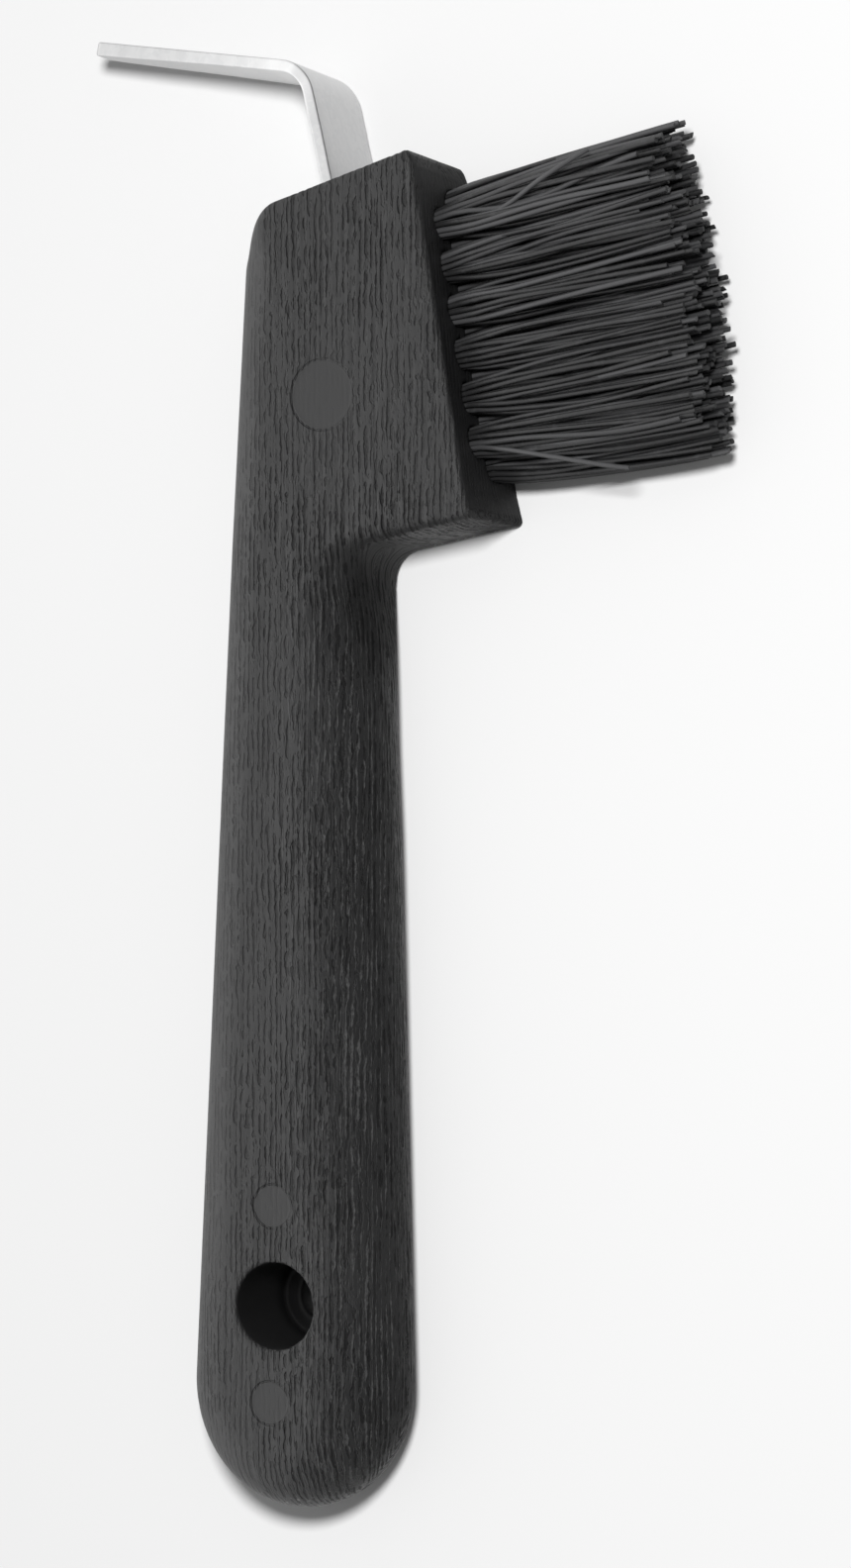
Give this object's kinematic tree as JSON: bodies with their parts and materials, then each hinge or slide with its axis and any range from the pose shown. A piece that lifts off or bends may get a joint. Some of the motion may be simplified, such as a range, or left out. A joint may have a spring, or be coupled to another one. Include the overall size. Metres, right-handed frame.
{
  "type": "hoof pick",
  "caption": "Hoof pick with a moulded wood-grain handle, a bent flat steel pick in the head and a stiff bristle brush set into the head's side.",
  "frame": {"origin": "on the surface the tool lies on, under the middle of its bounding box", "axes": "+Y along the handle towards the pick, +X towards the brush, +Z out of the front face; the tool lies on its back on z = 0"},
  "size_m": [0.0881, 0.1892, 0.0156],
  "materials": {
    "handle_plastic": "matt black with moulded wood grain",
    "pick_steel": "dull zinc-plated sheet steel",
    "bristle": "stiff black synthetic bristle",
    "anchor_metal": "bright drawn flat wire"
  },
  "bodies": {
    "root": {"handle_body": "handle_plastic", "pick_blade": "pick_steel", "tuft_01": "bristle", "tuft_02": "bristle", "tuft_03": "bristle", "tuft_04": "bristle", "tuft_05": "bristle", "tuft_06": "bristle", "tuft_07": "bristle", "tuft_08": "bristle", "tuft_09": "bristle", "tuft_10": "bristle", "tuft_11": "bristle", "tuft_12": "bristle", "tuft_13": "bristle", "tuft_anchor_01": "anchor_metal", "tuft_anchor_02": "anchor_metal", "tuft_anchor_03": "anchor_metal", "tuft_anchor_04": "anchor_metal", "tuft_anchor_05": "anchor_metal", "tuft_anchor_06": "anchor_metal", "tuft_anchor_07": "anchor_metal", "tuft_anchor_08": "anchor_metal", "tuft_anchor_09": "anchor_metal", "tuft_anchor_10": "anchor_metal", "tuft_anchor_11": "anchor_metal", "tuft_anchor_12": "anchor_metal", "tuft_anchor_13": "anchor_metal"}
  },
  "joints": []
}
